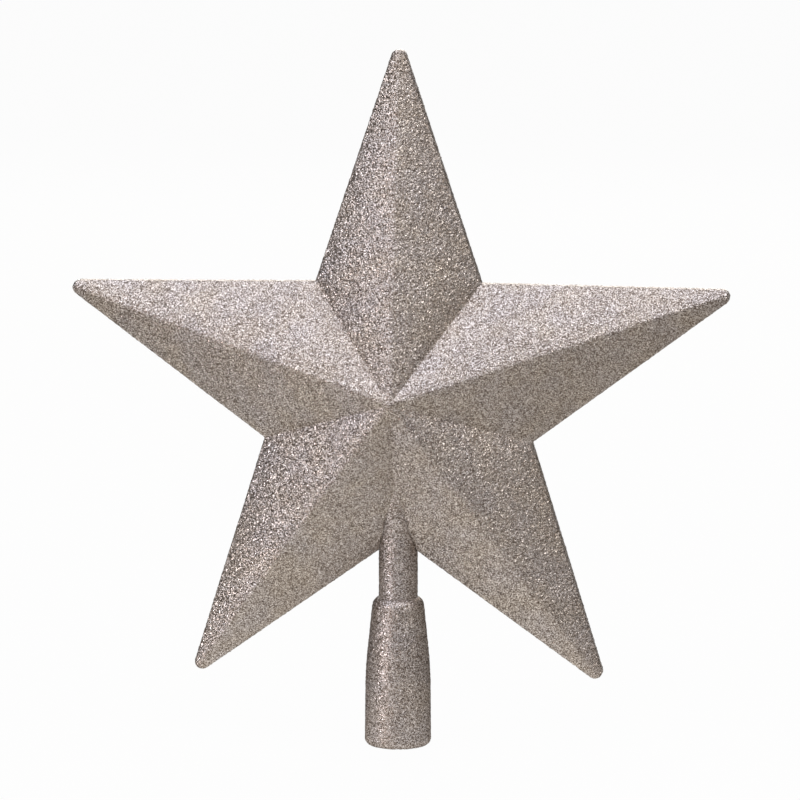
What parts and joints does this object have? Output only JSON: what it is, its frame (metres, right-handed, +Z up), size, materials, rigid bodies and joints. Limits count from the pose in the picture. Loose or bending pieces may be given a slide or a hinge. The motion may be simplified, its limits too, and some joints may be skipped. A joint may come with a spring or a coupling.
{
  "type": "christmas tree topper star",
  "caption": "Faceted five-pointed star tree topper with a champagne glitter finish, on a round neck with a flared socket that slips over the tree's top shoot.",
  "frame": {"origin": "centre of the socket's mouth", "axes": "+Z up along the stem to the star's top point, the star in the XZ plane with its front facing -Y"},
  "size_m": [0.1788, 0.0392, 0.1901],
  "materials": {
    "star_glitter": "moulded polystyrene under a coat of fine champagne and silver glitter",
    "stem_glitter": "moulded polystyrene under a coat of fine champagne and silver glitter"
  },
  "bodies": {
    "root": {"front_shell": "star_glitter", "back_shell": "star_glitter", "stem_tube": "stem_glitter", "tree_socket": "stem_glitter"}
  },
  "joints": []
}
